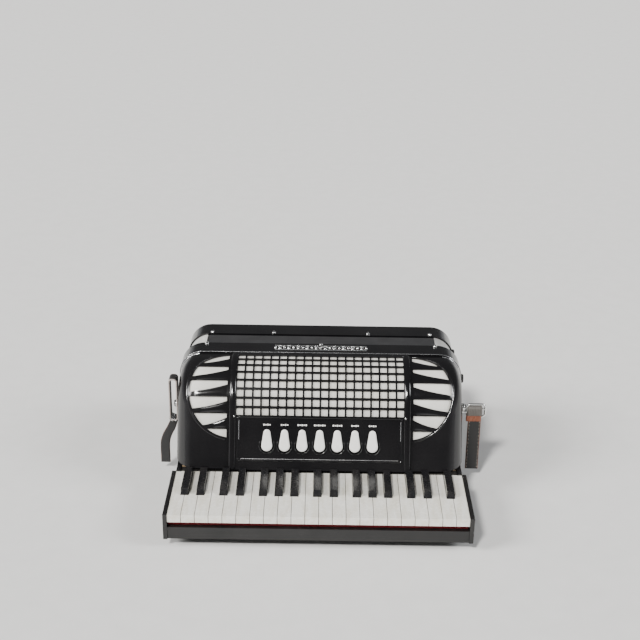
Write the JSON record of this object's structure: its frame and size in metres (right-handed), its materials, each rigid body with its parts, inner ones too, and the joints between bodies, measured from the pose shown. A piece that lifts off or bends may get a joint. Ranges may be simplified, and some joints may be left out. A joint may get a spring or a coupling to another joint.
{
  "type": "piano accordion",
  "caption": "Black piano accordion lying on its back: keyboard, pierced curved grille with switches and fans, pleated bellows, bass side with buttons and strap.",
  "frame": {"origin": "on the resting plane under the treble casing's back, midway along the keyboard", "axes": "+X along the keyboard towards the high notes, +Y from the keyboard towards the bass end, +Z from the back to the front of the instrument"},
  "size_m": [0.5097, 0.4371, 0.1986],
  "materials": {
    "black_celluloid": "polished black celluloid on wood",
    "white_key": "satin ivory-white plastic",
    "black_key": "satin black plastic",
    "register_white": "gloss white plastic",
    "button_white": "gloss ivory plastic",
    "grille_cloth": "aged off-white woven cloth",
    "bellows_card": "matt black card and cloth with leather gussets",
    "reed_wood": "bare spruce and walnut",
    "steel_rod": "drawn steel",
    "black_leather": "worn black leather"
  },
  "bodies": {
    "treble": {"treble_case": "black_celluloid", "keyboard_bed": "black_celluloid", "treble_grille": "black_celluloid", "grille_cloth": "grille_cloth", "treble_reed_blocks": "reed_wood", "key_axle": "steel_rod", "bellows": "bellows_card"},
    "bass": {"bass_case": "black_celluloid", "bass_end_plate": "black_celluloid", "bass_strap": "black_leather", "bass_reed_blocks": "reed_wood"},
    "key_g3": {"key_g3": "white_key"},
    "key_gsharp3": {"key_gsharp3": "black_key"},
    "key_a3": {"key_a3": "white_key"},
    "key_asharp3": {"key_asharp3": "black_key"},
    "key_b3": {"key_b3": "white_key"},
    "key_c4": {"key_c4": "white_key"},
    "key_csharp4": {"key_csharp4": "black_key"},
    "key_d4": {"key_d4": "white_key"},
    "key_dsharp4": {"key_dsharp4": "black_key"},
    "key_e4": {"key_e4": "white_key"},
    "key_f4": {"key_f4": "white_key"},
    "key_fsharp4": {"key_fsharp4": "black_key"},
    "key_g4": {"key_g4": "white_key"},
    "key_gsharp4": {"key_gsharp4": "black_key"},
    "key_a4": {"key_a4": "white_key"},
    "key_asharp4": {"key_asharp4": "black_key"},
    "key_b4": {"key_b4": "white_key"},
    "key_c5": {"key_c5": "white_key"},
    "key_csharp5": {"key_csharp5": "black_key"},
    "key_d5": {"key_d5": "white_key"},
    "key_dsharp5": {"key_dsharp5": "black_key"},
    "key_e5": {"key_e5": "white_key"},
    "key_f5": {"key_f5": "white_key"},
    "key_fsharp5": {"key_fsharp5": "black_key"},
    "key_g5": {"key_g5": "white_key"},
    "key_gsharp5": {"key_gsharp5": "black_key"},
    "key_a5": {"key_a5": "white_key"},
    "key_asharp5": {"key_asharp5": "black_key"},
    "key_b5": {"key_b5": "white_key"},
    "key_c6": {"key_c6": "white_key"},
    "key_csharp6": {"key_csharp6": "black_key"},
    "key_d6": {"key_d6": "white_key"},
    "key_dsharp6": {"key_dsharp6": "black_key"},
    "key_e6": {"key_e6": "white_key"},
    "key_f6": {"key_f6": "white_key"},
    "key_fsharp6": {"key_fsharp6": "black_key"},
    "key_g6": {"key_g6": "white_key"},
    "register_1": {"register_1": "register_white"},
    "register_2": {"register_2": "register_white"},
    "register_3": {"register_3": "register_white"},
    "register_4": {"register_4": "register_white"},
    "register_5": {"register_5": "register_white"},
    "register_6": {"register_6": "register_white"},
    "register_7": {"register_7": "register_white"},
    "bass_buttons": {"bass_buttons": "button_white"},
    "chord_buttons": {"chord_buttons": "button_white"},
    "air_button": {"air_button": "button_white"},
    "strap_end_top": {"strap_end_top": "black_leather"},
    "strap_end_bottom": {"strap_end_bottom": "black_leather"}
  },
  "joints": [
    {"name": "bellows_draw", "type": "slide", "parent": "treble", "child": "bass", "axis": [0, 1, 0], "range_m": [0, 0.32], "deforming": ["bellows"]},
    {"name": "strap_end_bottom_swing", "type": "hinge", "parent": "treble", "child": "strap_end_bottom", "pos_m": [0, -0.003, 0.12], "axis": [1, 0, 0], "range_deg": [-60, 60]},
    {"name": "strap_end_top_swing", "type": "hinge", "parent": "treble", "child": "strap_end_top", "pos_m": [0, -0.003, 0.12], "axis": [1, 0, 0], "range_deg": [-60, 60]},
    {"name": "air_button_press", "type": "slide", "parent": "bass", "child": "air_button", "axis": [0, -1, 0], "range_m": [0, 0.005], "stiffness_N_per_m": 500, "springref_m": -0.002},
    {"name": "chord_buttons_press", "type": "slide", "parent": "bass", "child": "chord_buttons", "axis": [0, -0.7141, -0.7001], "range_m": [0, 0.004], "stiffness_N_per_m": 900, "springref_m": -0.002},
    {"name": "bass_buttons_press", "type": "slide", "parent": "bass", "child": "bass_buttons", "axis": [0, -0.7141, -0.7001], "range_m": [0, 0.004], "stiffness_N_per_m": 900, "springref_m": -0.002},
    {"name": "register_7_rock", "type": "hinge", "parent": "treble", "child": "register_7", "pos_m": [0, -0.07494, 0.10522], "axis": [1, 0, 0], "range_deg": [0, 4], "stiffness_Nm_per_rad": 0.05, "springref_deg": -1.72},
    {"name": "register_6_rock", "type": "hinge", "parent": "treble", "child": "register_6", "pos_m": [0, -0.07494, 0.10522], "axis": [1, 0, 0], "range_deg": [0, 4], "stiffness_Nm_per_rad": 0.05, "springref_deg": -1.72},
    {"name": "register_5_rock", "type": "hinge", "parent": "treble", "child": "register_5", "pos_m": [0, -0.07494, 0.10522], "axis": [1, 0, 0], "range_deg": [0, 4], "stiffness_Nm_per_rad": 0.05, "springref_deg": -1.72},
    {"name": "register_4_rock", "type": "hinge", "parent": "treble", "child": "register_4", "pos_m": [0, -0.07494, 0.10522], "axis": [1, 0, 0], "range_deg": [0, 4], "stiffness_Nm_per_rad": 0.05, "springref_deg": -1.72},
    {"name": "register_3_rock", "type": "hinge", "parent": "treble", "child": "register_3", "pos_m": [0, -0.07494, 0.10522], "axis": [1, 0, 0], "range_deg": [0, 4], "stiffness_Nm_per_rad": 0.05, "springref_deg": -1.72},
    {"name": "register_2_rock", "type": "hinge", "parent": "treble", "child": "register_2", "pos_m": [0, -0.07494, 0.10522], "axis": [1, 0, 0], "range_deg": [0, 4], "stiffness_Nm_per_rad": 0.05, "springref_deg": -1.72},
    {"name": "register_1_rock", "type": "hinge", "parent": "treble", "child": "register_1", "pos_m": [0, -0.07494, 0.10522], "axis": [1, 0, 0], "range_deg": [0, 4], "stiffness_Nm_per_rad": 0.05, "springref_deg": -1.72},
    {"name": "key_g6_press", "type": "hinge", "parent": "treble", "child": "key_g6", "pos_m": [0, -0.086, 0.05], "axis": [1, 0, 0], "range_deg": [0, 1.9], "stiffness_Nm_per_rad": 0.9, "springref_deg": -5.16},
    {"name": "key_fsharp6_press", "type": "hinge", "parent": "treble", "child": "key_fsharp6", "pos_m": [0, -0.086, 0.05], "axis": [1, 0, 0], "range_deg": [0, 1.9], "stiffness_Nm_per_rad": 0.9, "springref_deg": -5.16},
    {"name": "key_f6_press", "type": "hinge", "parent": "treble", "child": "key_f6", "pos_m": [0, -0.086, 0.05], "axis": [1, 0, 0], "range_deg": [0, 1.9], "stiffness_Nm_per_rad": 0.9, "springref_deg": -5.16},
    {"name": "key_e6_press", "type": "hinge", "parent": "treble", "child": "key_e6", "pos_m": [0, -0.086, 0.05], "axis": [1, 0, 0], "range_deg": [0, 1.9], "stiffness_Nm_per_rad": 0.9, "springref_deg": -5.16},
    {"name": "key_dsharp6_press", "type": "hinge", "parent": "treble", "child": "key_dsharp6", "pos_m": [0, -0.086, 0.05], "axis": [1, 0, 0], "range_deg": [0, 1.9], "stiffness_Nm_per_rad": 0.9, "springref_deg": -5.16},
    {"name": "key_d6_press", "type": "hinge", "parent": "treble", "child": "key_d6", "pos_m": [0, -0.086, 0.05], "axis": [1, 0, 0], "range_deg": [0, 1.9], "stiffness_Nm_per_rad": 0.9, "springref_deg": -5.16},
    {"name": "key_csharp6_press", "type": "hinge", "parent": "treble", "child": "key_csharp6", "pos_m": [0, -0.086, 0.05], "axis": [1, 0, 0], "range_deg": [0, 1.9], "stiffness_Nm_per_rad": 0.9, "springref_deg": -5.16},
    {"name": "key_c6_press", "type": "hinge", "parent": "treble", "child": "key_c6", "pos_m": [0, -0.086, 0.05], "axis": [1, 0, 0], "range_deg": [0, 1.9], "stiffness_Nm_per_rad": 0.9, "springref_deg": -5.16},
    {"name": "key_b5_press", "type": "hinge", "parent": "treble", "child": "key_b5", "pos_m": [0, -0.086, 0.05], "axis": [1, 0, 0], "range_deg": [0, 1.9], "stiffness_Nm_per_rad": 0.9, "springref_deg": -5.16},
    {"name": "key_asharp5_press", "type": "hinge", "parent": "treble", "child": "key_asharp5", "pos_m": [0, -0.086, 0.05], "axis": [1, 0, 0], "range_deg": [0, 1.9], "stiffness_Nm_per_rad": 0.9, "springref_deg": -5.16},
    {"name": "key_a5_press", "type": "hinge", "parent": "treble", "child": "key_a5", "pos_m": [0, -0.086, 0.05], "axis": [1, 0, 0], "range_deg": [0, 1.9], "stiffness_Nm_per_rad": 0.9, "springref_deg": -5.16},
    {"name": "key_gsharp5_press", "type": "hinge", "parent": "treble", "child": "key_gsharp5", "pos_m": [0, -0.086, 0.05], "axis": [1, 0, 0], "range_deg": [0, 1.9], "stiffness_Nm_per_rad": 0.9, "springref_deg": -5.16},
    {"name": "key_g5_press", "type": "hinge", "parent": "treble", "child": "key_g5", "pos_m": [0, -0.086, 0.05], "axis": [1, 0, 0], "range_deg": [0, 1.9], "stiffness_Nm_per_rad": 0.9, "springref_deg": -5.16},
    {"name": "key_fsharp5_press", "type": "hinge", "parent": "treble", "child": "key_fsharp5", "pos_m": [0, -0.086, 0.05], "axis": [1, 0, 0], "range_deg": [0, 1.9], "stiffness_Nm_per_rad": 0.9, "springref_deg": -5.16},
    {"name": "key_f5_press", "type": "hinge", "parent": "treble", "child": "key_f5", "pos_m": [0, -0.086, 0.05], "axis": [1, 0, 0], "range_deg": [0, 1.9], "stiffness_Nm_per_rad": 0.9, "springref_deg": -5.16},
    {"name": "key_e5_press", "type": "hinge", "parent": "treble", "child": "key_e5", "pos_m": [0, -0.086, 0.05], "axis": [1, 0, 0], "range_deg": [0, 1.9], "stiffness_Nm_per_rad": 0.9, "springref_deg": -5.16},
    {"name": "key_dsharp5_press", "type": "hinge", "parent": "treble", "child": "key_dsharp5", "pos_m": [0, -0.086, 0.05], "axis": [1, 0, 0], "range_deg": [0, 1.9], "stiffness_Nm_per_rad": 0.9, "springref_deg": -5.16},
    {"name": "key_d5_press", "type": "hinge", "parent": "treble", "child": "key_d5", "pos_m": [0, -0.086, 0.05], "axis": [1, 0, 0], "range_deg": [0, 1.9], "stiffness_Nm_per_rad": 0.9, "springref_deg": -5.16},
    {"name": "key_csharp5_press", "type": "hinge", "parent": "treble", "child": "key_csharp5", "pos_m": [0, -0.086, 0.05], "axis": [1, 0, 0], "range_deg": [0, 1.9], "stiffness_Nm_per_rad": 0.9, "springref_deg": -5.16},
    {"name": "key_c5_press", "type": "hinge", "parent": "treble", "child": "key_c5", "pos_m": [0, -0.086, 0.05], "axis": [1, 0, 0], "range_deg": [0, 1.9], "stiffness_Nm_per_rad": 0.9, "springref_deg": -5.16},
    {"name": "key_b4_press", "type": "hinge", "parent": "treble", "child": "key_b4", "pos_m": [0, -0.086, 0.05], "axis": [1, 0, 0], "range_deg": [0, 1.9], "stiffness_Nm_per_rad": 0.9, "springref_deg": -5.16},
    {"name": "key_asharp4_press", "type": "hinge", "parent": "treble", "child": "key_asharp4", "pos_m": [0, -0.086, 0.05], "axis": [1, 0, 0], "range_deg": [0, 1.9], "stiffness_Nm_per_rad": 0.9, "springref_deg": -5.16},
    {"name": "key_a4_press", "type": "hinge", "parent": "treble", "child": "key_a4", "pos_m": [0, -0.086, 0.05], "axis": [1, 0, 0], "range_deg": [0, 1.9], "stiffness_Nm_per_rad": 0.9, "springref_deg": -5.16},
    {"name": "key_gsharp4_press", "type": "hinge", "parent": "treble", "child": "key_gsharp4", "pos_m": [0, -0.086, 0.05], "axis": [1, 0, 0], "range_deg": [0, 1.9], "stiffness_Nm_per_rad": 0.9, "springref_deg": -5.16},
    {"name": "key_g4_press", "type": "hinge", "parent": "treble", "child": "key_g4", "pos_m": [0, -0.086, 0.05], "axis": [1, 0, 0], "range_deg": [0, 1.9], "stiffness_Nm_per_rad": 0.9, "springref_deg": -5.16},
    {"name": "key_fsharp4_press", "type": "hinge", "parent": "treble", "child": "key_fsharp4", "pos_m": [0, -0.086, 0.05], "axis": [1, 0, 0], "range_deg": [0, 1.9], "stiffness_Nm_per_rad": 0.9, "springref_deg": -5.16},
    {"name": "key_f4_press", "type": "hinge", "parent": "treble", "child": "key_f4", "pos_m": [0, -0.086, 0.05], "axis": [1, 0, 0], "range_deg": [0, 1.9], "stiffness_Nm_per_rad": 0.9, "springref_deg": -5.16},
    {"name": "key_e4_press", "type": "hinge", "parent": "treble", "child": "key_e4", "pos_m": [0, -0.086, 0.05], "axis": [1, 0, 0], "range_deg": [0, 1.9], "stiffness_Nm_per_rad": 0.9, "springref_deg": -5.16},
    {"name": "key_dsharp4_press", "type": "hinge", "parent": "treble", "child": "key_dsharp4", "pos_m": [0, -0.086, 0.05], "axis": [1, 0, 0], "range_deg": [0, 1.9], "stiffness_Nm_per_rad": 0.9, "springref_deg": -5.16},
    {"name": "key_d4_press", "type": "hinge", "parent": "treble", "child": "key_d4", "pos_m": [0, -0.086, 0.05], "axis": [1, 0, 0], "range_deg": [0, 1.9], "stiffness_Nm_per_rad": 0.9, "springref_deg": -5.16},
    {"name": "key_csharp4_press", "type": "hinge", "parent": "treble", "child": "key_csharp4", "pos_m": [0, -0.086, 0.05], "axis": [1, 0, 0], "range_deg": [0, 1.9], "stiffness_Nm_per_rad": 0.9, "springref_deg": -5.16},
    {"name": "key_c4_press", "type": "hinge", "parent": "treble", "child": "key_c4", "pos_m": [0, -0.086, 0.05], "axis": [1, 0, 0], "range_deg": [0, 1.9], "stiffness_Nm_per_rad": 0.9, "springref_deg": -5.16},
    {"name": "key_b3_press", "type": "hinge", "parent": "treble", "child": "key_b3", "pos_m": [0, -0.086, 0.05], "axis": [1, 0, 0], "range_deg": [0, 1.9], "stiffness_Nm_per_rad": 0.9, "springref_deg": -5.16},
    {"name": "key_asharp3_press", "type": "hinge", "parent": "treble", "child": "key_asharp3", "pos_m": [0, -0.086, 0.05], "axis": [1, 0, 0], "range_deg": [0, 1.9], "stiffness_Nm_per_rad": 0.9, "springref_deg": -5.16},
    {"name": "key_a3_press", "type": "hinge", "parent": "treble", "child": "key_a3", "pos_m": [0, -0.086, 0.05], "axis": [1, 0, 0], "range_deg": [0, 1.9], "stiffness_Nm_per_rad": 0.9, "springref_deg": -5.16},
    {"name": "key_gsharp3_press", "type": "hinge", "parent": "treble", "child": "key_gsharp3", "pos_m": [0, -0.086, 0.05], "axis": [1, 0, 0], "range_deg": [0, 1.9], "stiffness_Nm_per_rad": 0.9, "springref_deg": -5.16},
    {"name": "key_g3_press", "type": "hinge", "parent": "treble", "child": "key_g3", "pos_m": [0, -0.086, 0.05], "axis": [1, 0, 0], "range_deg": [0, 1.9], "stiffness_Nm_per_rad": 0.9, "springref_deg": -5.16}
  ]
}
